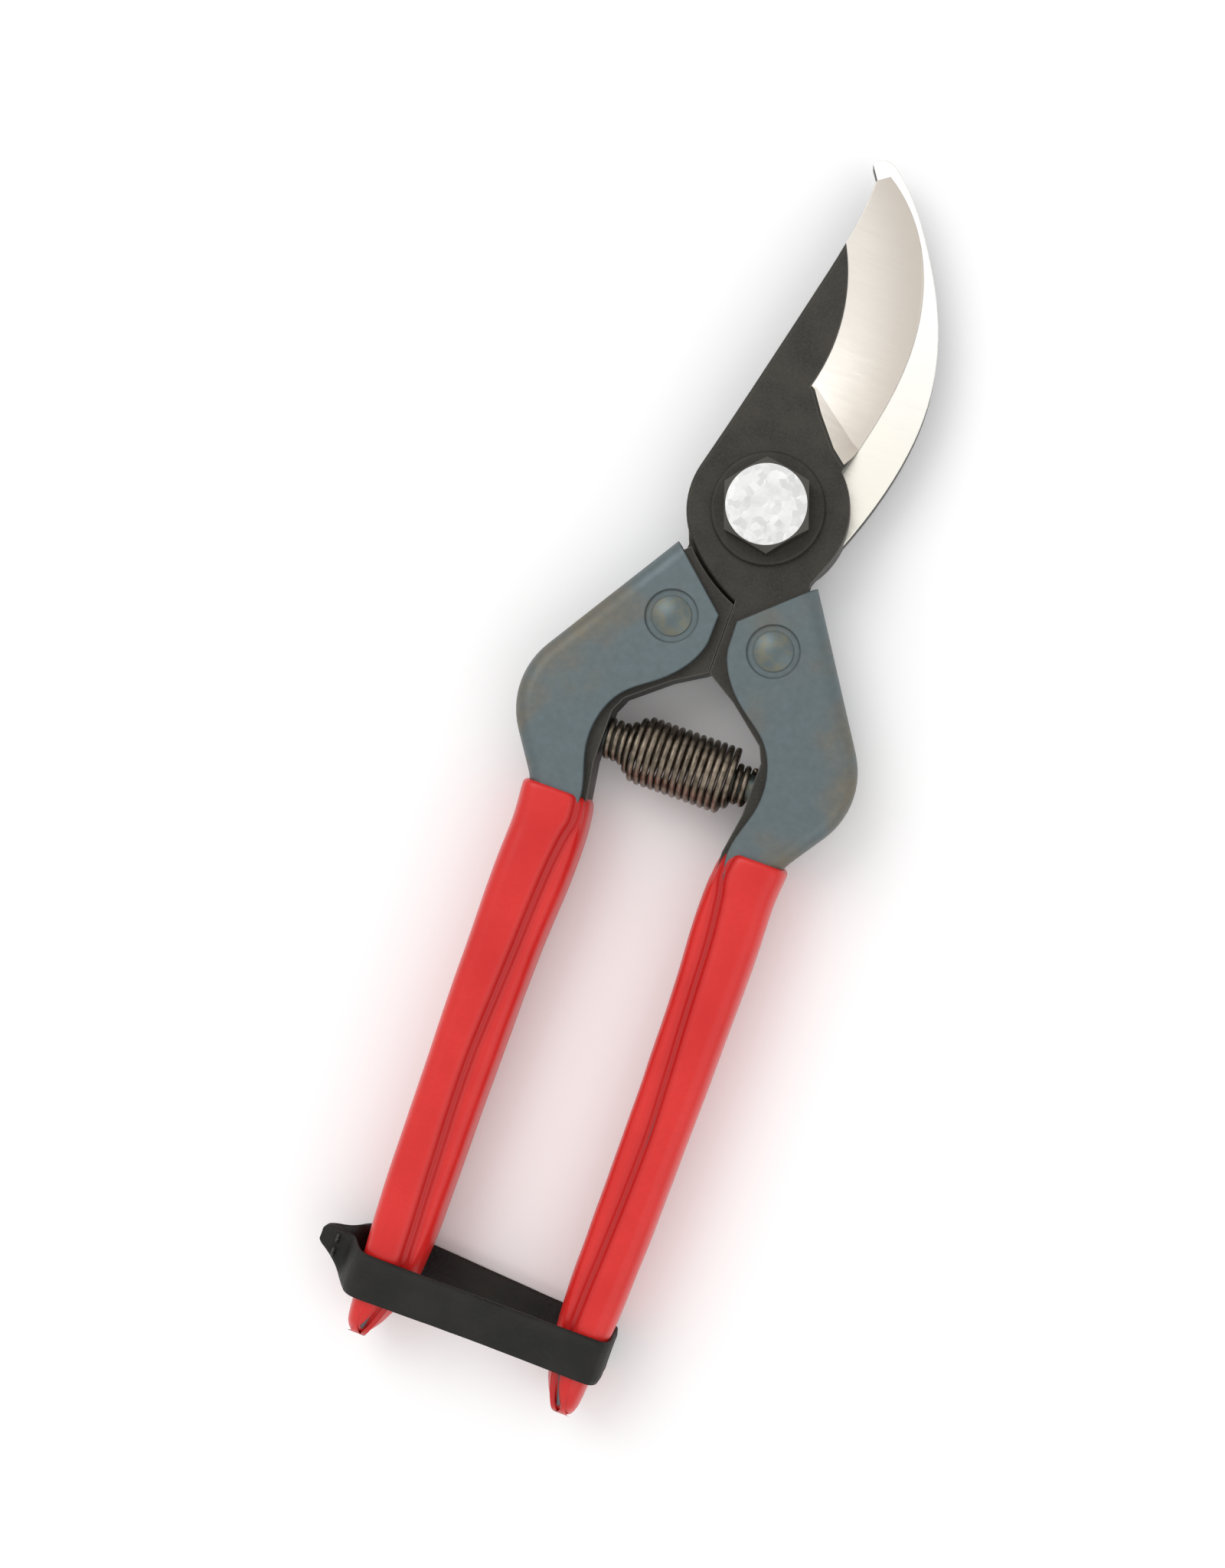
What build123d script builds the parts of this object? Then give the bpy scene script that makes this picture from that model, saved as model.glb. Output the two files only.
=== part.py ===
"""Bypass pruning shears, closed and strapped, lying flat.

Frame: the origin is on the pivot axis at the back of the pivot bolt, where the
shears rest. +Y runs towards the blade tips, +X to the cutting blade's edge side,
+Z from the back of the shears to the front. All sizes are in millimetres.
"""

import os
from math import cos, pi, radians, sin, sqrt

from build123d import *

os.makedirs("parts", exist_ok=True)

# ---- Pivot --------------------------------------------------------------
bolt_d = 8.0
hex_across_flats = 12.8
bolt_head_h = 4.6
nut_h = 3.6
thread_clear = 0.02            # radial, bolt to nut and to the fixed hook
bore_clear = 0.05              # radial, bolt to the turning blade
front_washer_d = 17.6
front_washer_t = 1.2
lock_washer_d = 13.4
lock_washer_t = 0.8
lock_washer_slit = 1.0
hex_turn = 49.0                # degrees from +X to one corner of the bolt head
nut_turn = 12.0                # the same for the nut
head_bevel = 0.9               # rise over run where the hex corners are turned off
slit_angle = 200.0             # where the lock washer is slit, from +X
slit_slant = 15.0              # the slit's lean from the radial direction
bolt_end_chamfer = 0.5
washer_rim_r = 0.5

# ---- Blades and tangs ---------------------------------------------------
forging_t = 8.0                # the two blades together, and each tang alone
blade_gap = 0.06               # running gap between the two blades
lap_clear = 0.35               # tang to the other blade's hub and neck
stop_gap = 0.05                # each tang's stop face to the centre plane
hub_r = 12.6
blade_reach = 55.0             # pivot axis to the cutting blade's tip
hook_reach = 57.3              # pivot axis to the top of the hook
edge_bulge_x = 12.3            # cutting edge's furthest point to the side
hook_bulge_x = 17.6            # hook's outer edge's furthest point to the side
edge_land = 0.15               # thickness left at the cutting edge
grind_radius = 41.2            # cutting edge about the grinding axis
grind_width = 11.3             # width of the ground bevel
grind_step = 0.5               # depth of the bevel at its ledge
grind_hollow = 0.25            # how far the bevel is hollow-ground
edge_round = 0.6               # soft edges of the forgings

# ---- Handles ------------------------------------------------------------
sheet_t = 1.6
bend_r = 2.6
channel_clear = 0.05           # tang to the channel's inside faces
channel_top_inner = (1.5, -17.9)
channel_top_outer = (11.4, -9.0)
shoulder_x, shoulder_y = 29.8, -37.8       # the shoulder's corner before it is rounded
shoulder_r = 12.8
grip_side_x, waist_y = 20.5, -51.6         # where the shoulder runs into the grip's side
waist_r = 6.0
handle_end_y = -142.8          # lowest point of the grips
grip_top_y = -51.4
end_bend = (19.4, handle_end_y + 17.8)     # where the handle's end starts to taper
end_bend_r = 60.0
handle_end_x = 17.8            # outer side of the channels at their ends
rivet_d = 5.0
rivet_head_d = 6.2
rivet_head_h = 1.0
rivet_x, rivet_y = 8.3, -20.4
dimple_d = 8.2
dimple_depth = 0.45
tang_apex_y = -26.7
tang_inner_x = 12.2            # tang's inner face where the spring sits
tang_end_y = -56.5

# ---- Grips --------------------------------------------------------------
grip_t = 1.1
tip_t = 2.0                    # sleeve's thickness past the channel's end
grip_round = 2.0
rib_half_depth = 4.9           # half the depth of the inner rib

# ---- Spring -------------------------------------------------------------
spring_y = -41.3
wire_d = 1.0
spring_body_d = 11.0
spring_end_d = 6.6
body_turns = 12
left_cone_turns = 3
right_cone_turns = 1
end_turns = 2
stud_d = 4.4
stud_len = 4.0
stud_sink = 3.0                # the stud's shank inside the tang

# ---- Strap --------------------------------------------------------------
strap_t = 1.0
strap_w = 6.9
strap_top_y = handle_end_y + 14.5
strap_clear = 0.1
strap_tab_len = 8.0            # from the left grip's side to the tab's tip
strap_tab_tip_w = 2.9
strap_tab_rise = 1.7           # how far the tab's tip leans towards the blades
thread_d = 0.6
stitch_pitch = 1.1
stitch_count = 3

# ---- Levels along Z, worked out from the stack on the bolt ---------------
z_back = nut_h + lock_washer_t
z_mid = z_back + forging_t / 2
z_front = z_back + forging_t
z_hook = z_mid - blade_gap / 2
z_blade = z_mid + blade_gap / 2
channel_in = forging_t / 2 + channel_clear
channel_out = channel_in + sheet_t
grip_out = channel_out + grip_t


def polar(radius, angle):
    """A point at an angle in degrees from +X about the pivot."""
    return (radius * cos(radians(angle)), radius * sin(radians(angle)))


def clockwise(angle):
    """Direction of travel clockwise round the pivot, at an angle in degrees."""
    return (sin(radians(angle)), -cos(radians(angle)))


# ---- Pivot bolt, washers and nut ----------------------------------------
z_head = z_front + front_washer_t
hex_corner_r = hex_across_flats / 2 / cos(pi / 6)
hex_cut_r = hex_corner_r + 1                # past the corners
hex_flat_r = hex_across_flats / 2 - 0.2     # disc left by turning the corners off
hex_drop = (hex_cut_r - hex_flat_r) * head_bevel

with BuildPart() as pivot_bolt:
    with BuildSketch(Plane.XY):
        Circle(bolt_d / 2)
    extrude(amount=z_head)
    chamfer(pivot_bolt.edges().sort_by(Axis.Z)[0], bolt_end_chamfer)
    with BuildSketch(Plane.XY.offset(z_head)):
        RegularPolygon(hex_corner_r, 6, rotation=hex_turn)
    extrude(amount=bolt_head_h)
    # the head's corners are turned off
    with BuildSketch(Plane.XZ):
        top = z_head + bolt_head_h
        Polygon(
            (0, 0), (hex_cut_r, 0), (hex_cut_r, top - hex_drop),
            (hex_flat_r, top), (0, top), align=None,
        )
    revolve(axis=Axis.Z, mode=Mode.INTERSECT)

with BuildPart() as pivot_nut:
    with BuildSketch(Plane.XY):
        RegularPolygon(hex_corner_r, 6, rotation=nut_turn)
        Circle(bolt_d / 2 + thread_clear, mode=Mode.SUBTRACT)
    extrude(amount=nut_h)
    with BuildSketch(Plane.XZ):
        Polygon(
            (0, 0), (hex_flat_r, 0), (hex_cut_r, hex_drop),
            (hex_cut_r, nut_h), (0, nut_h), align=None,
        )
    revolve(axis=Axis.Z, mode=Mode.INTERSECT)

with BuildPart() as lock_washer:
    with BuildSketch(Plane.XY.offset(nut_h)):
        Circle(lock_washer_d / 2)
        Circle(bolt_d / 2 + thread_clear, mode=Mode.SUBTRACT)
        with Locations(polar(lock_washer_d / 2, slit_angle)):
            Rectangle(
                lock_washer_d, lock_washer_slit, rotation=slit_angle + slit_slant,
                mode=Mode.SUBTRACT,
            )
    extrude(amount=lock_washer_t)

with BuildPart() as front_washer:
    with BuildSketch(Plane.XY.offset(z_front)):
        Circle(front_washer_d / 2)
        Circle(bolt_d / 2 + thread_clear, mode=Mode.SUBTRACT)
    extrude(amount=front_washer_t)
    rim = front_washer.edges().filter_by(GeomType.CIRCLE).group_by(Axis.Z)[-1]
    fillet(rim.sort_by(SortBy.RADIUS)[-1], washer_rim_r)

# ---- Outlines shared by both handles (right side, seen from the front) ---
top_inner = Vector(*channel_top_inner)
top_outer = Vector(*channel_top_outer)
shoulder_corner = (shoulder_x, shoulder_y)
waist_corner = (grip_side_x, waist_y)
tip_outer = (handle_end_x, handle_end_y + tip_t + 1.0)
web_dir = (Vector(*shoulder_corner) - top_outer).normalized()
web_in = Vector(web_dir.Y, -web_dir.X)      # from the web towards the handle's inside
channel_end_y = handle_end_y + tip_t
with BuildLine() as outer_path:
    FilletPolyline(
        channel_top_outer, shoulder_corner, waist_corner, end_bend, tip_outer,
        radius=[shoulder_r, waist_r, end_bend_r],
    )
grip_len = grip_top_y - handle_end_y
tip_inner = (handle_end_x - 1.6, channel_end_y + 0.3)
mouth_end = (14.9, channel_end_y + 5.0)
lip_top = (channel_top_inner[0] + 0.1, channel_top_inner[1] - 4.4)

with BuildSketch() as channel_plan:
    with BuildLine():
        add(outer_path.line)
        Polyline(tip_outer, tip_inner, mouth_end)
        Spline(
            mouth_end,
            (15.6, grip_top_y - 0.51 * grip_len),
            (15.3, grip_top_y - 0.29 * grip_len),
            (13.9, grip_top_y - 7.5),
            (tang_inner_x - 0.1, grip_top_y - 0.2),
            (tang_inner_x + 1.7, spring_y - 2.9),
            (tang_inner_x + 1.8, spring_y + 1.6),
            (tang_inner_x - 0.6, spring_y + 7.2),
            (6.9, tang_apex_y - 3.6),
            (3.2, tang_apex_y + 0.4),
            lip_top,
        )
        Polyline(lip_top, channel_top_inner, channel_top_outer)
    make_face()

with BuildSketch() as web_plan:
    with BuildLine():
        add(outer_path.line)
        offset(amount=sheet_t, side=Side.RIGHT)
    make_face()

# where the tang enters the channel, just inside the web
top_edge = (top_inner - top_outer).normalized()
entry = top_outer + top_edge * ((sheet_t + channel_clear) / top_edge.dot(web_in))
leave_web = entry + web_dir * 16.0
neck_y = -15.2
neck_angle = 41.0              # where the neck leaves the hub, below the X axis
notch_angle = 22.0             # where the hub runs straight to the channel's corner
notch_y = channel_top_outer[1] + 0.4
hub_low = Vector(*polar(hub_r, -notch_angle))
hub_low_dir = Vector(*clockwise(-notch_angle))
notch = hub_low + hub_low_dir * ((notch_y - hub_low.Y) / hub_low_dir.Y)

with BuildSketch() as tang_plan:
    with BuildLine():
        Polyline(
            (stop_gap, neck_y + 4),
            (stop_gap, tang_apex_y),
            (5.1, tang_apex_y - 3.1),
            (tang_inner_x - 1.1, tang_apex_y - 8.0),
            (tang_inner_x, spring_y + 4.2),
            (tang_inner_x, spring_y - 4.2),
            (tang_inner_x - 1.0, grip_top_y - 0.5),
            (tang_inner_x - 0.9, tang_end_y),
            (tang_inner_x + 4.4, tang_end_y),
            (leave_web.X, leave_web.Y),
            (entry.X, entry.Y),
            polar(hub_r - 1, -45),
            close=True,
        )
    make_face()
    fillet(tang_plan.vertices().sort_by(Axis.Y)[:2], 1.0)

with BuildLine() as neck_line:       # of the hook; the cutting blade's is its mirror image
    TangentArc(
        polar(hub_r, -neck_angle), (-stop_gap, neck_y), tangent=clockwise(-neck_angle),
    )

with BuildSketch() as lap_pocket:
    Circle(hub_r)
    with BuildLine():
        add(neck_line.line)
        Polyline((-stop_gap, neck_y), (-stop_gap, 0), polar(hub_r, -neck_angle))
    make_face()
    offset(amount=lap_clear)

# ---- Cutting blade, in front, with the right tang -------------------------
heel_angle = 46.0              # where the cutting edge meets the hub
spine_angle = 165.0            # where the spine leaves the hub
tip = (0.2, blade_reach)
with BuildSketch() as blade_plan:
    with BuildLine():
        Spline(
            tip,
            (0.58 * edge_bulge_x, 0.876 * blade_reach),
            (0.945 * edge_bulge_x, 0.675 * blade_reach),
            (edge_bulge_x, 0.52 * blade_reach),
            (0.90 * edge_bulge_x, 0.345 * blade_reach),
            polar(hub_r, heel_angle),
        )
        CenterArc((0, 0), hub_r, heel_angle, -notch_angle - heel_angle)
        Polyline(
            polar(hub_r, -notch_angle), (notch.X, notch.Y), (entry.X, entry.Y),
            (entry.X, tang_apex_y + 4), (stop_gap, tang_apex_y + 4), (stop_gap, neck_y),
        )
        mirror(neck_line.line, about=Plane.YZ)
        CenterArc((0, 0), hub_r, 180 + neck_angle, spine_angle - 180 - neck_angle)
        Spline(
            polar(hub_r, spine_angle),
            (-4.5, 0.62 * blade_reach),
            (-1.9, 0.86 * blade_reach),
            (-1.6, 0.975 * blade_reach),
            tangents=(clockwise(spine_angle), (0.02, 1)),
        )
        Line((-1.6, 0.975 * blade_reach), tip)
    make_face()

# the hollow grind: a shallow cone about the edge's own centre, run out near the hub
grind_axis = (edge_bulge_x - grind_radius, 0.515 * blade_reach)
ledge_r = grind_radius - grind_width
with BuildPart() as blade_grind:
    with BuildSketch(Plane.XY.offset(z_front)):
        Polygon(
            (-14, 27), (0.2, 19.4), (2.4, 16.2), (6.0, 11.8), polar(hub_r + 0.4, heel_angle),
            (16, 3), (40, 3), (40, 80), (-14, 80), align=None,
        )
    extrude(amount=z_blade - z_front, taper=45)
    with BuildSketch(Plane(origin=(*grind_axis, 0), x_dir=(1, 0, 0), z_dir=(0, -1, 0))):
        with BuildLine():
            ledge = (ledge_r, z_front - grind_step)
            land = (grind_radius, z_blade + edge_land)
            middle = (
                (ledge[0] + land[0]) / 2,
                (ledge[1] + land[1]) / 2 - grind_hollow,
            )
            ThreePointArc(ledge, middle, land)
            Polyline(
                land, (grind_radius + 9, z_blade + edge_land),
                (grind_radius + 9, z_front + 1), (ledge_r, z_front + 1), ledge,
            )
        make_face()
    revolve(axis=Axis((*grind_axis, 0), (0, 0, 1)), mode=Mode.INTERSECT)


with BuildPart() as cutting_blade:
    with BuildSketch(Plane.XY.offset(z_blade)):
        add(blade_plan.sketch)
        add(tang_plan.sketch)
    extrude(amount=z_front - z_blade)
    # the spine, hub and neck on the spine side are soft; the ground side is sharp
    soft_edges = [
        e for e in cutting_blade.faces().sort_by(Axis.Z)[-1].outer_wire().edges()
        if e.length > 3 and e.center().X < -2 * stop_gap
        and neck_y - 1 < e.center().Y < blade_reach - 5
    ]
    fillet(soft_edges, edge_round)
    add(blade_grind.part, mode=Mode.SUBTRACT)
    with BuildSketch(Plane.XY.offset(z_back)):
        add(tang_plan.sketch)
        add(lap_pocket.sketch, mode=Mode.SUBTRACT)
    extrude(amount=z_blade - z_back)
    with BuildSketch(Plane.XY.offset(z_back)):
        Circle(bolt_d / 2 + bore_clear)
        with Locations((rivet_x, rivet_y)):
            Circle(rivet_d / 2)
    extrude(amount=forging_t, mode=Mode.SUBTRACT)
    with BuildSketch(Plane(origin=(tang_inner_x, spring_y, z_mid), z_dir=(1, 0, 0))):
        Circle(stud_d / 2)
    extrude(amount=stud_sink, mode=Mode.SUBTRACT)

# ---- Hook blade, behind, with the left tang --------------------------------
hook_heel_angle = -6.0         # where the hook's outer edge meets the hub
hook_neck_angle = 78.0         # where its inner edge does
with BuildSketch() as hook_plan:
    with BuildLine():
        beak = (-3.1, hook_reach - 1.1)
        Spline(
            beak,
            (-0.9, hook_reach),
            (1.8, hook_reach - 1.6),
            (0.485 * hook_bulge_x, 0.83 * hook_reach),
            (0.85 * hook_bulge_x, 0.62 * hook_reach),
            (hook_bulge_x, 0.40 * hook_reach),
            (0.95 * hook_bulge_x, 0.22 * hook_reach),
            polar(hub_r, hook_heel_angle),
        )
        CenterArc((0, 0), hub_r, hook_heel_angle, -neck_angle - hook_heel_angle)
        add(neck_line.line)
        Polyline(
            (-stop_gap, neck_y), (-stop_gap, tang_apex_y + 4), (-entry.X, tang_apex_y + 4),
            (-entry.X, entry.Y), (-notch.X, notch.Y), polar(hub_r, 180 + notch_angle),
        )
        CenterArc((0, 0), hub_r, 180 + notch_angle, hook_neck_angle - 180 - notch_angle)
        Spline(
            polar(hub_r, hook_neck_angle),
            (0.43 * hook_bulge_x, 0.40 * hook_reach),
            (0.43 * hook_bulge_x, 0.55 * hook_reach),
            (0.33 * hook_bulge_x, 0.70 * hook_reach),
            (0.10 * hook_bulge_x, 0.85 * hook_reach),
            beak,
        )
    make_face()

with BuildPart() as hook_blade:
    with BuildSketch(Plane.XY.offset(z_back)):
        add(hook_plan.sketch)
        mirror(tang_plan.sketch, about=Plane.YZ)
    extrude(amount=z_hook - z_back)
    with BuildSketch(Plane.XY.offset(z_hook)):
        mirror(tang_plan.sketch, about=Plane.YZ)
        mirror(lap_pocket.sketch, about=Plane.YZ, mode=Mode.SUBTRACT)
    extrude(amount=z_front - z_hook)
    with BuildSketch(Plane.XY.offset(z_back)):
        Circle(bolt_d / 2 + thread_clear)
        with Locations((-rivet_x, rivet_y)):
            Circle(rivet_d / 2)
    extrude(amount=forging_t, mode=Mode.SUBTRACT)
    with BuildSketch(Plane(origin=(-tang_inner_x, spring_y, z_mid), z_dir=(-1, 0, 0))):
        Circle(stud_d / 2)
    extrude(amount=stud_sink, mode=Mode.SUBTRACT)

# ---- Handle channels, tang rivets and spring studs --------------------------
with BuildPart() as channel_block:
    with BuildSketch(Plane.XY.offset(z_mid)):
        add(channel_plan.sketch)
    extrude(amount=channel_out, both=True)
    rims = [
        e for f in (channel_block.faces().sort_by(Axis.Z)[0], channel_block.faces().sort_by(Axis.Z)[-1])
        for e in f.outer_wire().edges()
        if outer_path.line.distance_to(e.center() - Vector(0, 0, e.center().Z)) < 0.01
    ]
    fillet(rims, bend_r)

with BuildPart() as right_handle:
    add(channel_block.part)
    with BuildSketch(Plane.XY.offset(z_mid)):
        add(channel_plan.sketch)
        add(web_plan.sketch, mode=Mode.SUBTRACT)
    extrude(amount=channel_in, both=True, mode=Mode.SUBTRACT)
    for level in (z_mid + channel_out, z_mid - channel_out):
        with BuildSketch(Plane.XY.offset(level)):
            with Locations((rivet_x, rivet_y)):
                Circle(dimple_d / 2)
        extrude(amount=dimple_depth if level < z_mid else -dimple_depth, mode=Mode.SUBTRACT)
    with BuildSketch(Plane.XY.offset(z_mid)):
        with Locations((rivet_x, rivet_y)):
            Circle(rivet_d / 2)
    extrude(amount=channel_out, both=True, mode=Mode.SUBTRACT)

with BuildPart() as left_handle:
    mirror(right_handle.part, about=Plane.YZ)

rivet_seat = channel_out - dimple_depth
with BuildPart() as right_rivet:
    with BuildSketch(Plane.XY.offset(z_mid)):
        with Locations((rivet_x, rivet_y)):
            Circle(rivet_d / 2)
    extrude(amount=rivet_seat, both=True)
    # a low domed head on each end
    with BuildSketch(Plane(origin=(rivet_x, rivet_y, z_mid), x_dir=(1, 0, 0), z_dir=(0, -1, 0))):
        with BuildLine():
            crown = (0, rivet_seat + rivet_head_h)
            rim_top = (rivet_head_d / 2, rivet_seat + 0.25)
            mid = (rivet_head_d * 0.29, rivet_seat + rivet_head_h * 0.76)
            ThreePointArc(crown, mid, rim_top)
            Polyline(rim_top, (rivet_head_d / 2, rivet_seat), (0, rivet_seat), crown)
        make_face()
        mirror(about=Plane.XZ)
    revolve(axis=Axis((rivet_x, rivet_y, 0), (0, 0, 1)))

with BuildPart() as left_rivet:
    mirror(right_rivet.part, about=Plane.YZ)

with BuildPart() as right_spring_stud:
    with BuildSketch(Plane(origin=(tang_inner_x - stud_len, spring_y, z_mid), z_dir=(1, 0, 0))):
        Circle(stud_d / 2)
    extrude(amount=stud_len + stud_sink)
    chamfer(right_spring_stud.edges().sort_by(Axis.X)[0], 0.6)

with BuildPart() as left_spring_stud:
    mirror(right_spring_stud.part, about=Plane.YZ)

# ---- Return spring: small closed ends, a cone each, a full body --------------
spring_len = 2 * tang_inner_x
end_r = (spring_end_d - wire_d) / 2
body_r = (spring_body_d - wire_d) / 2
total_turns = 2 * end_turns + left_cone_turns + right_cone_turns + body_turns


def spring_radius(turn):
    """Coil radius after so many turns from the left end."""
    cone_in = end_turns + left_cone_turns
    cone_out = total_turns - end_turns - right_cone_turns
    if turn < cone_in:
        share = max(0.0, (turn - end_turns) / left_cone_turns)
    elif turn > cone_out:
        share = max(0.0, (total_turns - end_turns - turn) / right_cone_turns)
    else:
        share = 1.0
    return end_r + (body_r - end_r) * (3 - 2 * share) * share**2


def spring_point(turn):
    """A point on the wire's centre line."""
    reach = spring_len - wire_d
    x = -reach / 2 + reach * turn / total_turns
    r = spring_radius(turn)
    return (x, spring_y + r * cos(2 * pi * turn), z_mid + r * sin(2 * pi * turn))


steps_per_turn = 10
with BuildPart() as return_spring:
    with BuildLine() as wire_line:
        Spline(*[spring_point(i / steps_per_turn) for i in range(total_turns * steps_per_turn + 1)])
    wire = wire_line.line.edges()[0]
    with BuildSketch(Plane(origin=wire @ 0, z_dir=wire % 0)):
        Circle(wire_d / 2)
    sweep(path=wire, is_frenet=True)


# ---- Grips: a dipped sleeve over each channel, with a lower rib over its mouth --
rib_top_x = tang_inner_x - 1.0 - grip_t
rib_x = 11.0
beyond = 200.0                 # larger than anything that is cut away
with BuildSketch() as sleeve_plan:
    add(channel_plan.sketch)
    with Locations((0, grip_top_y + 2 * grip_t)):
        Rectangle(beyond, beyond, align=(Align.CENTER, Align.MIN), mode=Mode.SUBTRACT)
    offset(amount=grip_t)
    with Locations((0, grip_top_y)):
        Rectangle(beyond, beyond, align=(Align.CENTER, Align.MIN), mode=Mode.SUBTRACT)

with BuildSketch() as rib_plan:
    with BuildLine():
        Spline(
            (rib_top_x + 0.6, grip_top_y),
            (rib_x - 1.1, grip_top_y - 6.5),
            (rib_x - 0.6, grip_top_y - 17.0),
            (rib_x, grip_top_y - 0.40 * grip_len),
            (rib_x, grip_top_y - 0.76 * grip_len),
            (rib_x + 2.1, handle_end_y + 4.8),
            (handle_end_x - 0.8, handle_end_y + 0.4),
            tangents=((-0.3, -1), (0.9, -0.3)),
        )
        Polyline(
            (handle_end_x - 0.8, handle_end_y + 0.4), (handle_end_x - 0.6, channel_end_y),
            (handle_end_x - 1.5, grip_top_y), (rib_top_x + 0.6, grip_top_y),
        )
    make_face()

with BuildPart() as right_grip:
    with BuildSketch(Plane.XY.offset(z_mid)):
        add(sleeve_plan.sketch)
    extrude(amount=grip_out, both=True)
    side_edges = [
        e for f in (right_grip.faces().sort_by(Axis.Z)[0], right_grip.faces().sort_by(Axis.Z)[-1])
        for e in f.outer_wire().edges() if e.center().X > handle_end_x + 1.0
    ]
    fillet(side_edges, grip_round)
    with BuildSketch(Plane.XY.offset(z_mid)):
        add(rib_plan.sketch)
    extrude(amount=rib_half_depth, both=True)
    add(channel_block.part, mode=Mode.SUBTRACT)
    with BuildSketch(Plane.XY.offset(z_mid)):
        add(tang_plan.sketch)
        offset(amount=channel_clear)
    extrude(amount=channel_in, both=True, mode=Mode.SUBTRACT)

with BuildPart() as left_grip:
    mirror(right_grip.part, about=Plane.YZ)

# ---- Strap: one loop round both grips, its ends sewn together in a tab ---------
strap_mid_y = strap_top_y - strap_w / 2
taper = (end_bend[0] - tip_outer[0]) / (end_bend[1] - tip_outer[1])
side_at_strap = end_bend[0] - taper * (end_bend[1] - strap_top_y) + grip_t * sqrt(1 + taper**2)
half_w = side_at_strap + strap_clear
half_d = grip_out + strap_clear
loop_point_x = -half_w - 2.6
with BuildSketch() as loop_hole:
    Polygon(
        (-half_w, half_d), (loop_point_x, 0), (-half_w, -half_d),
        (half_w, -half_d), (half_w, half_d), align=None,
    )
    fillet(loop_hole.vertices(), grip_round - 0.4)

with BuildPart() as strap:
    with BuildSketch(Plane(origin=(0, strap_top_y, z_mid), x_dir=(1, 0, 0), z_dir=(0, -1, 0))):
        add(loop_hole.sketch)
        offset(amount=strap_t)
        add(loop_hole.sketch, mode=Mode.SUBTRACT)
    extrude(amount=strap_w)
    tab_root_x = loop_point_x - strap_t
    tab_tip_x = -side_at_strap - strap_tab_len
    tab_tip_y = strap_mid_y + strap_tab_rise
    with BuildSketch(Plane.XY.offset(z_mid)) as tab_plan:
        Polygon(
            (tab_root_x + 1, strap_top_y),
            (tab_tip_x, tab_tip_y + strap_tab_tip_w / 2),
            (tab_tip_x, tab_tip_y - strap_tab_tip_w / 2),
            (tab_root_x + 1, strap_top_y - strap_w), align=None,
        )
        fillet(tab_plan.vertices().sort_by(Axis.X)[:2], 1.2)
    extrude(amount=strap_t, both=True)

# black thread through the two layers of the tab, in a running stitch
stitch_x = tab_root_x - 1.4
stitch_ys = [
    strap_mid_y + strap_tab_rise / 2 + (i - stitch_count / 2) * stitch_pitch
    for i in range(stitch_count + 1)
]
thread_bend = thread_d * 0.6   # the thread turns just outside the leather
thread_z = strap_t + thread_bend
thread_turns = [
    (y, z) for i, y in enumerate(stitch_ys)
    for z in ((-thread_z, thread_z) if i % 2 == 0 else (thread_z, -thread_z))
]
with BuildPart() as strap_stitching:
    with BuildLine(Plane(origin=(stitch_x, 0, z_mid), x_dir=(0, 1, 0), z_dir=(1, 0, 0))) as stitch_line:
        FilletPolyline(*thread_turns, radius=thread_bend)
    with BuildSketch(Plane(origin=stitch_line.line @ 0, z_dir=(0, 0, 1))):
        Circle(thread_d / 2)
    sweep(path=stitch_line.line)

with BuildPart() as sewn_strap:
    add(strap.part)
    with BuildSketch(Plane.XY.offset(z_mid)):
        with Locations(*[(stitch_x, y) for y in stitch_ys]):
            Circle(thread_d / 2)
    extrude(amount=strap_t, both=True, mode=Mode.SUBTRACT)

pieces = {
    "cutting_blade": cutting_blade,
    "hook_blade": hook_blade,
    "pivot_bolt": pivot_bolt,
    "front_washer": front_washer,
    "lock_washer": lock_washer,
    "pivot_nut": pivot_nut,
    "left_handle": left_handle,
    "right_handle": right_handle,
    "left_rivet": left_rivet,
    "right_rivet": right_rivet,
    "left_grip": left_grip,
    "right_grip": right_grip,
    "left_spring_stud": left_spring_stud,
    "right_spring_stud": right_spring_stud,
    "return_spring": return_spring,
    "strap": sewn_strap,
    "strap_stitching": strap_stitching,
}
for name, piece in pieces.items():
    piece.part.label = name
    export_step(piece.part, f"parts/{name}.step")
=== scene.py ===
"""Looks for the bypass pruning shears: soft vinyl grips, coil spring, leather strap and worn steel."""
from math import cos, pi, radians, sin

import bpy
from mathutils import Matrix, Vector, noise


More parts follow.
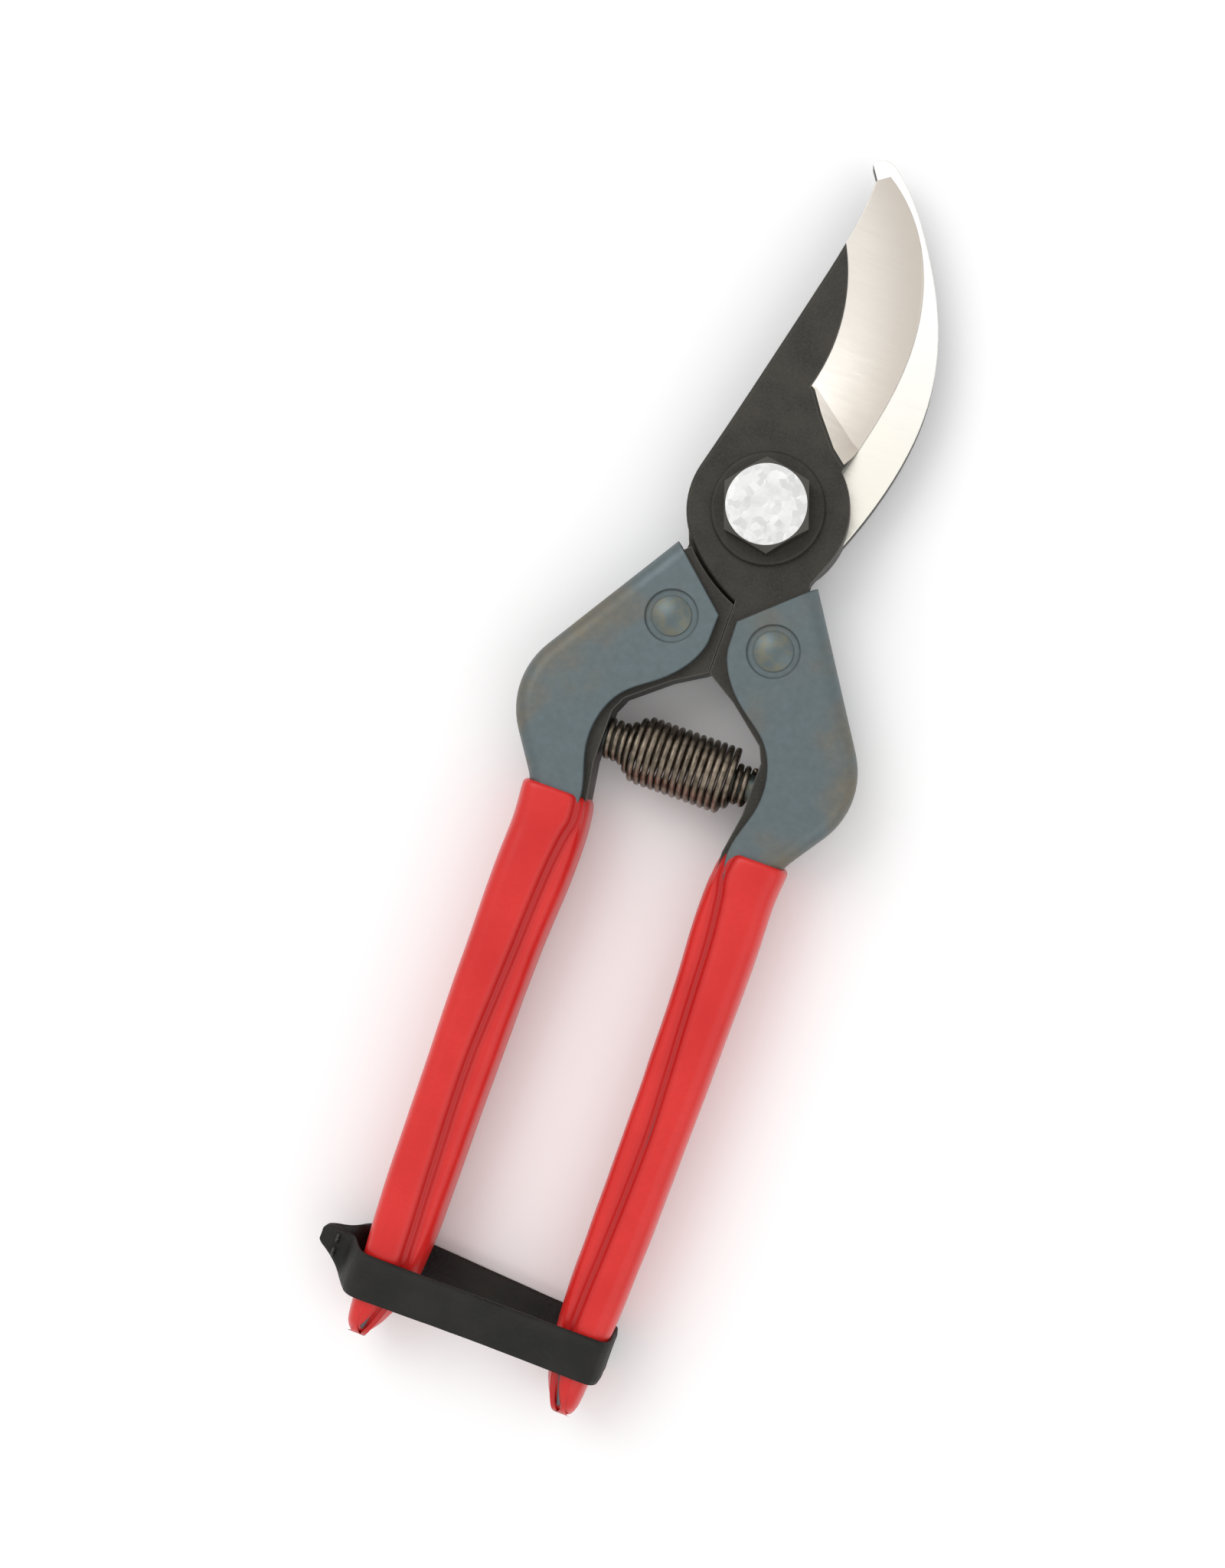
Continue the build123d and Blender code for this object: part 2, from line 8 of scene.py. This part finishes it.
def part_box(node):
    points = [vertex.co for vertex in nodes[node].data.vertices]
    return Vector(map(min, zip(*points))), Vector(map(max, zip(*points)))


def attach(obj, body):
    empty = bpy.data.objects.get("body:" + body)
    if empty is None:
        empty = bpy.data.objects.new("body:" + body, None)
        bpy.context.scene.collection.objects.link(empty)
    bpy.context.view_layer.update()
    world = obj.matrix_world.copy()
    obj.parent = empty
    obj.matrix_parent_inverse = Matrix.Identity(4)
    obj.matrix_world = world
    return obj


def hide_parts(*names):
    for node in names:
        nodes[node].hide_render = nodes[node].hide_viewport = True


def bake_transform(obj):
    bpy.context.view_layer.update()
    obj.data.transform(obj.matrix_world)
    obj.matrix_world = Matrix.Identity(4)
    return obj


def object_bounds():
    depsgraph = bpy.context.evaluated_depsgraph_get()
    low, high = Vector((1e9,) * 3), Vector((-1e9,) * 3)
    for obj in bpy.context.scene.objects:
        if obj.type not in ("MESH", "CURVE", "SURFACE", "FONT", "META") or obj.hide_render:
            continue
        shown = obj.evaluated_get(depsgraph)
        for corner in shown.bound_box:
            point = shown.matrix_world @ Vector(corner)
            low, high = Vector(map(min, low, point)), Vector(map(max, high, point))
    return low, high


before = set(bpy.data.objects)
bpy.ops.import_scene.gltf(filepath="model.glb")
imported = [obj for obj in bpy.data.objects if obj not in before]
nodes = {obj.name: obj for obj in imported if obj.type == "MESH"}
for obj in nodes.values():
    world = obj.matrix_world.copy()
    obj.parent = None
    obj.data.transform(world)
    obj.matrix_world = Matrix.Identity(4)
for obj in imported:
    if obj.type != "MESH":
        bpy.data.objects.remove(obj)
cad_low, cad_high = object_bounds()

MM = 0.001
SEED = Vector((3.1, 7.7, 1.9))        # offset of every noise drawn in mesh code


# ---- Small tools --------------------------------------------------------------
def smooth(x):
    """0 to 1 with no corner at either end."""
    x = min(1.0, max(0.0, x))
    return x * x * (3 - 2 * x)


def curve_through(points, per_span):
    """Points on a smooth line through the given ones (Catmull-Rom), any number of dimensions."""
    ends = [[2 * a - b for a, b in zip(points[0], points[1])]]
    tail = [[2 * a - b for a, b in zip(points[-1], points[-2])]]
    p = ends + [list(q) for q in points] + tail
    line = []
    for i in range(1, len(p) - 2):
        for k in range(per_span):
            t = k / per_span
            line.append([
                0.5 * (2 * b + (c - a) * t + (2 * a - 5 * b + 4 * c - d) * t**2
                       + (3 * b - a - 3 * c + d) * t**3)
                for a, b, c, d in zip(p[i - 1], p[i], p[i + 1], p[i + 2])
            ])
    return line + [list(points[-1])]


def tube_mesh(name, rings, closed=False):
    """A skin over rings of points, with a cap at each end unless the rings close on themselves."""
    count = len(rings[0])
    points = [p for ring in rings for p in ring]
    faces = []
    for i in range(len(rings) if closed else len(rings) - 1):
        a, b = i * count, (i + 1) % len(rings) * count
        for k in range(count):
            n = (k + 1) % count
            faces.append((a + k, a + n, b + n, b + k))
    if not closed:
        faces.append(tuple(reversed(range(count))))
        faces.append(tuple(range(len(points) - count, len(points))))
    mesh = bpy.data.meshes.new(name)
    mesh.from_pydata(points, [], faces)
    mesh.update()
    piece = bpy.data.objects.new(name, mesh)
    bpy.context.scene.collection.objects.link(piece)
    mesh.shade_smooth()
    return piece


class Paint:
    """A node material being put together; each call gives back an output socket."""

    def __init__(self, name, **sockets):
        self.material = bpy.data.materials.new(name)
        self.material.use_nodes = True
        self.tree = self.material.node_tree
        self.shader = self.tree.nodes["Principled BSDF"]
        for socket, value in sockets.items():
            self.shader.inputs[socket.replace("_", " ")].default_value = value
        where = self.tree.nodes.new("ShaderNodeTexCoord")
        self.place = where.outputs["Object"]
        self.normal = where.outputs["Normal"]

    def node(self, kind, inputs, out=0, **settings):
        made = self.tree.nodes.new("ShaderNode" + kind)
        for key, value in settings.items():
            setattr(made, key, value)
        for key, value in inputs.items():
            if isinstance(value, bpy.types.NodeSocket):
                self.tree.links.new(value, made.inputs[key])
            else:
                made.inputs[key].default_value = value
        return made.outputs[out]

    def math(self, kind, a, b=0.0, clamp=False):
        return self.node("Math", {0: a, 1: b}, operation=kind, use_clamp=clamp)

    def noise(self, per_metre, detail=4.0, rough=0.55, stretch=None):
        place = self.place
        if stretch:
            place = self.node("Mapping", {"Vector": place, "Scale": stretch})
        return self.node("TexNoise", {
            "Vector": place, "Scale": per_metre, "Detail": detail, "Roughness": rough,
        })

    def cells(self, per_metre, out="Distance"):
        return self.node("TexVoronoi", {"Vector": self.place, "Scale": per_metre}, out)

    def step(self, value, low, high):
        """0 below low, 1 above high, smooth between; low may be the larger."""
        flip = low > high
        return self.node("MapRange", {
            "Value": value, "From Min": min(low, high), "From Max": max(low, high),
            "To Min": 1.0 if flip else 0.0, "To Max": 0.0 if flip else 1.0,
        }, interpolation_type="SMOOTHSTEP")

    def scaled(self, value, low, high, to_low, to_high):
        return self.node("MapRange", {
            "Value": value, "From Min": low, "From Max": high, "To Min": to_low, "To Max": to_high,
        })

    def mix(self, share, a, b):
        a = a if isinstance(a, bpy.types.NodeSocket) else (*a, 1)
        b = b if isinstance(b, bpy.types.NodeSocket) else (*b, 1)
        return self.node("Mix", {0: share, 6: a, 7: b}, 2, data_type="RGBA")

    def blend(self, share, a, b):
        return self.node("Mix", {0: share, 2: a, 3: b}, 0, data_type="FLOAT")

    def axis(self, vector, letter):
        return self.node("SeparateXYZ", {0: vector}, letter)

    def distance_from(self, x, y):
        """Distance in the plane of the shears from a point, in metres."""
        flat = self.node("VectorMath", {0: self.place, 1: (1, 1, 0)}, operation="MULTIPLY")
        return self.node("VectorMath", {0: flat, 1: (x, y, 0)}, "Value", operation="DISTANCE")

    def edges(self, radius):
        """1 along the object's sharp edges, 0 on its faces."""
        round_normal = self.node("Bevel", {"Radius": radius}, samples=6)
        face_normal = self.node("NewGeometry", {}, "Normal")
        dot = self.node(
            "VectorMath", {0: round_normal, 1: face_normal}, "Value", operation="DOT_PRODUCT")
        return self.step(dot, 0.985, 0.86)

    def set(self, socket, value):
        self.tree.links.new(value, self.shader.inputs[socket])

    def bump(self, height, depth, strength=1.0, rounding=None):
        normal = {"Normal": self.node("Bevel", {"Radius": rounding}, samples=6)} if rounding else {}
        self.set("Normal", self.node("Bump", {
            "Height": height, "Distance": depth, "Strength": strength, **normal,
        }))


# ---- Materials ----------------------------------------------------------------
grip_low, grip_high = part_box("right_grip")
middle_z = (grip_low.z + grip_high.z) / 2
blade_top_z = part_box("cutting_blade")[1].z
hook_face_z = blade_top_z - 4.03 * MM        # half the forgings' thickness and half their gap
grind_centre = (-28.9 * MM, 28.3 * MM)       # the bevel is a cone about this point
ledge_radius, edge_radius = 29.9 * MM, 41.2 * MM


def black_oxide(paint):
    """Colour, roughness and height of oil-blackened forged steel, with a painted highlight along its
    sharp edges.
    """
    cloud = paint.noise(160, 5)
    grain = paint.noise(2600, 3)
    colour = paint.mix(paint.step(cloud, 0.3, 0.7), (0.020, 0.018, 0.015), (0.042, 0.038, 0.031))
    colour = paint.mix(paint.scaled(grain, 0.3, 0.7, 0.0, 0.30), colour, (0.075, 0.068, 0.056))
    # painted highlight: the sharp edges are lightened in the colour
    painted_edge_highlight = paint.edges(0.35 * MM)
    colour = paint.mix(paint.math("MULTIPLY", painted_edge_highlight, 0.55), colour, (0.24, 0.23, 0.21))
    rough = paint.scaled(cloud, 0.3, 0.7, 0.42, 0.60)
    height = paint.math("ADD", grain, paint.math("MULTIPLY", cloud, 2.0))
    return colour, rough, height


def polished(paint, near, far, share):
    """Colour and scratches of ground steel that shades from one tint to the other."""
    streaks = paint.noise(420, 6, 0.6, stretch=(0.35, 2.6, 1.0))
    fine = paint.noise(2400, 3, 0.6, stretch=(0.2, 3.0, 1.0))
    tint = paint.mix(share, near, far)
    tint = paint.mix(paint.scaled(streaks, 0.35, 0.65, 0.0, 0.10), tint, (0.42, 0.39, 0.35))
    rough = paint.scaled(streaks, 0.3, 0.7, 0.26, 0.36)
    return tint, rough, fine


def blade_material():
    paint = Paint("forged_black_blade")
    black, black_rough, black_height = black_oxide(paint)
    radius = paint.distance_from(*grind_centre)
    # painted shading: the bevel's tint is brightest at the ledge and darker towards the cutting edge
    share = paint.step(radius, ledge_radius, edge_radius)
    steel, steel_rough, scratches = polished(paint, (0.92, 0.87, 0.80), (0.66, 0.60, 0.53), share)
    height_z = paint.axis(paint.place, "Z")
    facing = paint.axis(paint.normal, "Z")
    below_top = paint.step(height_z, blade_top_z - 0.46 * MM, blade_top_z - 0.49 * MM)
    past_ledge = paint.step(radius, ledge_radius - 0.1 * MM, ledge_radius)
    inside_edge = paint.step(radius, edge_radius + 0.6 * MM, edge_radius + 0.3 * MM)
    ground = paint.math("MULTIPLY", below_top, paint.step(facing, 0.60, 0.64))
    ground = paint.math("MULTIPLY", ground, past_ledge)
    ground = paint.math("MULTIPLY", ground, inside_edge)
    paint.set("Base Color", paint.mix(ground, black, steel))
    paint.set("Metallic", paint.scaled(ground, 0, 1, 0.55, 1.0))
    paint.set("Roughness", paint.blend(ground, black_rough, steel_rough))
    paint.bump(paint.blend(ground, black_height, scratches), 0.012 * MM, 0.5, rounding=0.25 * MM)
    return paint.material


def hook_material():
    paint = Paint("forged_hook_face")
    black, black_rough, black_height = black_oxide(paint)
    along = paint.axis(paint.place, "Y")
    steel, steel_rough, scratches = polished(
        paint, (0.90, 0.87, 0.78), (0.94, 0.93, 0.90), paint.step(along, 5 * MM, 40 * MM))
    facing = paint.axis(paint.normal, "Z")
    height_z = paint.axis(paint.place, "Z")
    at_face = paint.step(height_z, hook_face_z - 0.1 * MM, hook_face_z - 0.05 * MM)
    level = paint.math("MULTIPLY", at_face, paint.step(facing, 0.90, 0.95))
    face = paint.math("MULTIPLY", level, paint.step(along, -1.5 * MM, -0.5 * MM))
    paint.set("Base Color", paint.mix(face, black, steel))
    paint.set("Metallic", paint.scaled(face, 0, 1, 0.55, 1.0))
    paint.set("Roughness", paint.blend(face, black_rough, steel_rough))
    paint.bump(paint.blend(face, black_height, scratches), 0.012 * MM, 0.5, rounding=0.25 * MM)
    return paint.material


def handle_material():
    """Heat-tinted sheet steel: blue grey with brown clouds towards the outer shoulder."""
    paint = Paint("handle_steel_tint", Metallic=0.65)
    cloud = paint.noise(75, 4)
    fine = paint.noise(900, 5)
    side = paint.math("ABSOLUTE", paint.axis(paint.place, "X"))
    outward = paint.math("ADD", paint.scaled(side, 14 * MM, 27 * MM, 0.0, 0.6),
                         paint.scaled(cloud, 0.35, 0.65, -0.3, 0.5))
    tint = paint.mix(paint.step(outward, 0.1, 0.9), (0.118, 0.150, 0.160), (0.170, 0.150, 0.112))
    tint = paint.mix(paint.scaled(fine, 0.3, 0.7, 0.0, 0.4), tint, (0.085, 0.104, 0.110))
    # painted shade: the sheet's edges are darkened in the colour
    tint = paint.mix(paint.math("MULTIPLY", paint.edges(0.5 * MM), 0.6), tint, (0.030, 0.034, 0.036))
    paint.set("Base Color", tint)
    paint.set("Roughness", paint.scaled(cloud, 0.3, 0.7, 0.40, 0.55))
    paint.bump(fine, 0.03 * MM, 0.5, rounding=0.3 * MM)
    return paint.material


def rivet_material():
    paint = Paint("rivet_steel_tint", Metallic=0.7)
    cloud = paint.noise(500, 4)
    tint = paint.mix(paint.step(cloud, 0.35, 0.7), (0.110, 0.140, 0.145), (0.165, 0.165, 0.125))
    paint.set("Base Color", tint)
    paint.set("Roughness", paint.scaled(cloud, 0.3, 0.7, 0.34, 0.5))
    paint.bump(paint.noise(1800), 0.02 * MM, 0.6, rounding=0.15 * MM)
    return paint.material


def zinc_material():
    paint = Paint("zinc_plate", Metallic=1.0)
    spangle = paint.cells(900, "Color")
    tone = paint.axis(spangle, "X")
    cloud = paint.noise(420, 5)
    tint = paint.mix(tone, (0.62, 0.62, 0.62), (0.86, 0.86, 0.85))
    tint = paint.mix(paint.scaled(cloud, 0.35, 0.65, 0.0, 0.5), tint, (0.50, 0.50, 0.48))
    # painted shade: faces tilted away from straight up or down (chamfers and sides) are darkened
    facing = paint.math("ABSOLUTE", paint.axis(paint.normal, "Z"))
    tint = paint.mix(paint.step(facing, 0.97, 0.90), tint, (0.10, 0.095, 0.085))
    paint.set("Base Color", tint)
    paint.set("Roughness", paint.scaled(cloud, 0.3, 0.7, 0.30, 0.50))
    paint.bump(cloud, 0.05 * MM, 0.5)
    return paint.material


def washer_material():
    paint = Paint("dark_washer_black")
    black, rough, height = black_oxide(paint)
    paint.set("Base Color", black)
    paint.set("Roughness", rough)
    paint.shader.inputs["Metallic"].default_value = 0.6
    paint.bump(height, 0.02 * MM, 0.6, rounding=0.15 * MM)
    return paint.material


def vinyl_material():
    """Dipped soft vinyl: glossy, slightly uneven, with painted shade along the groove."""
    paint = Paint("red_vinyl_dip", Coat_Weight=0.15, Coat_Roughness=0.2, Specular_IOR_Level=0.35)
    cloud = paint.noise(60, 4)
    speck = paint.noise(1500, 3)
    tint = paint.mix(paint.step(cloud, 0.3, 0.7), (0.56, 0.010, 0.008), (0.64, 0.018, 0.014))
    tint = paint.mix(paint.scaled(speck, 0.4, 0.8, 0.0, 0.25), tint, (0.46, 0.008, 0.007))
    # painted shade: the vinyl is darkened along the groove between the front and the rib
    groove_shade = paint.node("Attribute", {}, "Fac", attribute_name="groove_shade")
    tint = paint.mix(paint.math("MULTIPLY", groove_shade, 0.85), tint, (0.40, 0.006, 0.006))
    paint.set("Base Color", tint)
    paint.set("Roughness", paint.scaled(cloud, 0.3, 0.7, 0.30, 0.42))
    height = paint.math("ADD", paint.math("MULTIPLY", paint.noise(220, 2), 3.0), speck)
    paint.bump(height, 0.03 * MM, 0.45)
    return paint.material


def wire_material():
    paint = Paint("spring_wire_bronze", Metallic=0.9)
    cloud = paint.noise(700, 4)
    tint = paint.mix(paint.step(cloud, 0.3, 0.7), (0.10, 0.080, 0.060), (0.26, 0.215, 0.165))
    paint.set("Base Color", tint)
    paint.set("Roughness", paint.scaled(cloud, 0.3, 0.7, 0.28, 0.42))
    paint.bump(paint.noise(3500, 2), 0.01 * MM, 0.5)
    return paint.material


def leather_material():
    paint = Paint("strap_leather_dark", Specular_IOR_Level=0.3)
    grain = paint.cells(1500)
    cloud = paint.noise(140, 5)
    tint = paint.mix(paint.step(cloud, 0.3, 0.7), (0.006, 0.0058, 0.005), (0.017, 0.016, 0.013))
    tint = paint.mix(paint.math("MULTIPLY", paint.edges(0.3 * MM), 0.5), tint, (0.040, 0.037, 0.031))
    paint.set("Base Color", tint)
    paint.set("Roughness", paint.scaled(cloud, 0.3, 0.7, 0.55, 0.75))
    paint.bump(paint.math("ADD", grain, paint.noise(3200)), 0.12 * MM, 0.6)
    return paint.material


def thread_material():
    paint = Paint("thread_waxed")
    twist = paint.node("TexWave", {
        "Vector": paint.node("Mapping", {"Vector": paint.place, "Rotation": (0, 0.6, 0.6)}),
        "Scale": 900.0, "Distortion": 0.5,
    }, 1)
    paint.set("Base Color", paint.mix(twist, (0.010, 0.010, 0.009), (0.045, 0.043, 0.038)))
    paint.set("Roughness", paint.scaled(twist, 0, 1, 0.45, 0.65))
    paint.bump(twist, 0.08 * MM, 0.8)
    return paint.material


def floor_material():
    paint = Paint("pale_floor", Roughness=0.9, Specular_IOR_Level=0.1)
    paint.set("Base Color", paint.mix(paint.noise(30, 2), (0.93, 0.93, 0.93), (0.95, 0.95, 0.95)))
    return paint.material


def dress(node, material):
    slots = nodes[node].material_slots
    if not len(slots):
        nodes[node].data.materials.append(material)
    for one in slots:
        one.material = material


steel = handle_material()
rivet = rivet_material()
dark = washer_material()
zinc = zinc_material()
dress("cutting_blade", blade_material())
dress("hook_blade", hook_material())
for name in ("left_handle", "right_handle"):
    dress(name, steel)
for name in ("left_rivet", "right_rivet", "left_spring_stud", "right_spring_stud"):
    dress(name, rivet)
for name in ("front_washer", "lock_washer"):
    dress(name, dark)
for name in ("pivot_bolt", "pivot_nut"):
    dress(name, zinc)
dress("strap_stitching", thread_material())


# ---- Grips: soft vinyl sleeves with a lower inner rib ---------------------------
# down the grip: y, outer side, groove, rib's inner side, half depth, rib's half depth
# (mm, on the right grip; the ends and the outer side meet the CAD sleeve's box)
GRIP_STATIONS = [
    (-51.4, 21.2, 12.9, 11.5, 6.30, 4.3),
    (-51.9, 21.6, 12.6, 11.0, 6.72, 4.7),
    (-53.2, 21.6, 12.3, 10.6, 6.75, 4.9),
    (-55.5, 21.4, 12.2, 10.3, 6.70, 4.9),
    (-58.5, 21.3, 12.8, 10.1, 6.66, 4.9),
    (-65.0, 21.5, 13.5, 10.2, 6.70, 4.9),
    (-76.0, 21.5, 14.0, 10.8, 6.72, 4.9),
    (-88.0, 21.4, 14.6, 11.0, 6.72, 4.9),
    (-98.0, 21.2, 14.9, 11.1, 6.70, 4.9),
    (-112.0, 21.0, 14.5, 11.1, 6.72, 4.9),
    (-124.0, 20.6, 14.0, 11.1, 6.70, 4.9),
    (-131.0, 20.1, 13.9, 11.6, 6.64, 4.9),
    (-136.0, 19.6, 14.4, 12.6, 6.50, 5.0),
    (-138.6, 19.4, 15.1, 13.6, 6.10, 5.1),
    (-140.4, 19.2, 15.8, 14.7, 5.30, 4.9),
    (-141.7, 18.7, 16.4, 15.8, 4.00, 3.8),
    (-142.3, 18.1, 17.0, 16.7, 2.40, 2.2),
]
POINTS_PER_STATION = 7
GRIP_END_Y = -142.3
RIB_FADE = 12.0               # length over which the rib's shift runs out at the grip's end


def grip_section(outer, groove, rib, depth, rib_depth):
    """Half of a grip's section, from the middle of its outer side over the front to the rib."""
    return [
        (outer, 0.0), (outer, 0.42 * depth), (outer - 0.22, 0.68 * depth),
        (outer - 0.95, 0.90 * depth), (outer - 2.2, 0.995 * depth),
        ((outer + groove) / 2, 1.01 * depth), (groove + 1.7, 0.99 * depth),
        (groove + 0.9, 0.94 * depth), (groove + 0.35, 0.84 * depth),
        (groove - 0.1, 0.4 * depth + 0.6 * rib_depth), (groove - 0.8, rib_depth),
        ((groove + rib) / 2, 1.02 * rib_depth), (rib + 0.7, 0.88 * rib_depth),
        (rib + 0.12, 0.58 * rib_depth), (rib, 0.0),
    ]


def grip(name, body, node, side, rib_shift):
    """A dipped sleeve; side is 1 on the right and -1 on the left."""
    rings, groove_shade = [], []
    for y, outer, groove, rib, depth, rib_depth in curve_through(GRIP_STATIONS, POINTS_PER_STATION):
        fade = smooth((y - GRIP_END_Y) / RIB_FADE)
        half = grip_section(outer, groove + rib_shift * fade, rib + rib_shift * fade, depth, rib_depth)
        whole = half + [(x, -z) for x, z in reversed(half[1:-1])]
        ring = curve_through(whole + [whole[0]], 3)[:-1]
        points = []
        for x, z in ring:
            lump = 0.09 * noise.noise(Vector((x * side, y, z)) * 0.14 + SEED)
            out = Vector((x - (outer + groove) / 2, z)).normalized() * lump
            points.append((side * (x + out.x) * MM, y * MM, middle_z + (z + out.y) * MM))
            # painted shade mask: strongest in the groove, towards the front and back faces
            near_groove = 1 - smooth(abs(x - groove - rib_shift * fade - 0.1) / 1.5)
            groove_shade.append(near_groove * smooth((abs(z) - 2.5) / 1.5))
        rings.append(points if side > 0 else points[::-1])
    if side < 0:
        count = len(rings[0])
        groove_shade = [v for i in range(0, len(groove_shade), count) for v in groove_shade[i:i + count][::-1]]
    piece = tube_mesh(name, rings[::-1])
    shade = piece.data.attributes.new("groove_shade", "FLOAT", "POINT")
    count = len(rings[0])
    rows = [groove_shade[i:i + count] for i in range(0, len(groove_shade), count)][::-1]
    shade.data.foreach_set("value", [v for row in rows for v in row])
    piece.data.materials.append(vinyl)
    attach(piece, body)
    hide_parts(node)


vinyl = vinyl_material()
grip("right_grip_vinyl", "blade_lever", "right_grip", 1, 0.35)
grip("left_grip_vinyl", "hook_lever", "left_grip", -1, -0.35)


# ---- Return spring: a barrel coil with small closed ends --------------------------
def spring():
    low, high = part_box("return_spring")
    wire = 1.0 * MM
    end_radius, body_radius = 2.8 * MM, 5.0 * MM
    closed, left_cone, body, right_cone = 2, 3, 12, 1
    turns = 2 * closed + left_cone + body + right_cone
    per_turn, around = 40, 12
    y, z = (low.y + high.y) / 2, (low.z + high.z) / 2
    reach = high.x - low.x - wire

    def radius(turn):
        into = (turn - closed) / left_cone
        out_of = (turns - closed - turn) / right_cone
        share = smooth(min(into, out_of))
        return end_radius + (body_radius - end_radius) * share

    def centre(turn):
        x = low.x + wire / 2 + reach * turn / turns
        bulge = radius(turn) + 0.06 * MM * noise.noise(Vector((turn * 0.7, 0, 0)) + SEED)
        return Vector((x, y + bulge * cos(2 * pi * turn), z + bulge * sin(2 * pi * turn)))

    rings = []
    for i in range(turns * per_turn + 1):
        turn = i / per_turn
        here = centre(turn)
        along = (centre(turn + 0.005) - centre(turn - 0.005)).normalized()
        out = (here - Vector((here.x, y, z))).normalized()
        across = along.cross(out).normalized()
        out = across.cross(along)
        rings.append([
            here + (out * cos(2 * pi * k / around) + across * sin(2 * pi * k / around)) * wire / 2
            for k in range(around)
        ])
    piece = tube_mesh("return_spring_coil", rings)
    piece.data.materials.append(wire_material())
    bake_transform(piece)
    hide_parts("return_spring")


spring()


# ---- Strap: one strip of leather folded back on itself, sewn in a tab --------------
# along the strip from the front layer of the tab: x, height above the middle, strip's
# middle in y, width (mm)
STRAP_LINE = [
    (-28.0, 0.55, -130.0, 2.0), (-27.5, 0.55, -130.0, 3.0), (-26.4, 0.55, -130.2, 4.0),
    (-25.0, 0.55, -130.8, 5.0), (-23.6, 0.65, -131.5, 6.2), (-22.5, 1.6, -132.0, 6.9),
    (-21.4, 4.2, -132.3, 6.9), (-20.2, 6.4, -132.4, 6.9), (-18.2, 7.25, -132.4, 6.9),
    (-12.0, 7.2, -132.3, 6.8), (0.0, 7.0, -132.1, 6.7), (12.0, 7.2, -131.9, 6.8),
    (18.4, 7.3, -131.8, 6.9), (19.9, 6.6, -131.8, 6.9), (20.5, 4.4, -131.8, 6.9),
    (20.5, 0.0, -131.9, 6.9), (20.5, -4.4, -132.0, 6.9), (19.9, -6.6, -132.1, 6.9),
    (18.4, -7.3, -132.1, 6.9), (12.0, -7.2, -131.9, 6.8), (0.0, -7.0, -131.2, 6.7),
    (-12.0, -7.2, -130.7, 6.8), (-18.2, -7.25, -130.5, 6.9), (-20.2, -6.4, -130.4, 6.9),
    (-21.4, -4.2, -130.4, 6.9), (-22.5, -1.6, -130.4, 6.7), (-23.6, -0.65, -130.4, 6.0),
    (-25.0, -0.55, -130.3, 5.0), (-26.4, -0.55, -130.1, 4.0), (-27.5, -0.55, -130.0, 3.0),
    (-28.0, -0.55, -130.0, 2.0),
]


def strap():
    low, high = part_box("strap")
    middle = (low.z + high.z) / 2
    half_thick = 0.5
    line = curve_through(STRAP_LINE, 8)
    rings = []
    for i, (x, z, y, width) in enumerate(line):
        before, after = line[max(0, i - 1)], line[min(len(line) - 1, i + 1)]
        along = Vector((after[0] - before[0], after[1] - before[1])).normalized()
        out = Vector((-along.y, along.x))
        ring = []
        steps = 9
        for face in (1, -1):
            for k in range(steps):
                share = (2 * k / (steps - 1) - 1) * face
                edge = 1 - 0.55 * smooth((abs(share) - 0.80) / 0.20)
                lump = 0.10 * noise.noise(Vector((x, y + share * 3, z * face)) * 0.35 + SEED)
                off = (face * edge * half_thick) + lump + 0.12 * (share**2 - 0.4)
                ring.append((
                    (x + out.x * off) * MM, (y + share * width / 2) * MM,
                    middle + (z + out.y * off) * MM,
                ))
        rings.append(ring)
    piece = tube_mesh("strap_leather_loop", rings)
    piece.data.materials.append(leather_material())
    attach(piece, "strap")
    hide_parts("strap")


strap()

# ---- Floor, light and camera ----------------------------------------------------
bpy.ops.mesh.primitive_plane_add(size=6.0, location=(0, 0, cad_low.z - 0.0002))
floor = bpy.context.object
floor.name = "floor"
floor.data.materials.append(floor_material())

turn = radians(19.86)                   # the shears lie turned clockwise in the picture
camera_place = Vector((30 * MM, -40 * MM, middle_z + 350 * MM))
aim = Vector((-8.7 * MM, -47.9 * MM, middle_z))
view_height = 245 * MM                  # what the picture's height shows at that distance

camera = bpy.data.cameras.new("camera")
camera.sensor_width = 36
camera.lens = camera.sensor_width / view_height * (camera_place - aim).length
camera.clip_start = 0.01
eye = bpy.data.objects.new("camera", camera)
back = (camera_place - aim).normalized()
side = Vector((-sin(turn), cos(turn), 0)).cross(back).normalized()
eye.location = camera_place
eye.rotation_euler = Matrix((side, back.cross(side), back)).transposed().to_euler()
bpy.context.scene.collection.objects.link(eye)
bpy.context.scene.camera = eye


def softbox(name, place, aim, size, watts):
    lamp = bpy.data.lights.new(name, "AREA")
    lamp.size = size
    lamp.energy = watts
    stand = bpy.data.objects.new(name, lamp)
    stand.location = place
    stand.rotation_euler = (Vector(aim) - Vector(place)).to_track_quat("-Z", "Y").to_euler()
    bpy.context.scene.collection.objects.link(stand)


softbox("key_light", (-0.55, 0.35, 0.9), (0, -0.04, 0), 0.7, 3.2)
softbox("fill_light", (0.7, -0.3, 0.8), (0, -0.04, 0), 0.9, 1.4)

world = bpy.data.worlds.new("studio")
bpy.context.scene.world = world
world.use_nodes = True
world.node_tree.nodes["Background"].inputs["Color"].default_value = (1, 1, 1, 1)
world.node_tree.nodes["Background"].inputs["Strength"].default_value = 0.92
bpy.context.scene.view_settings.view_transform = "Standard"
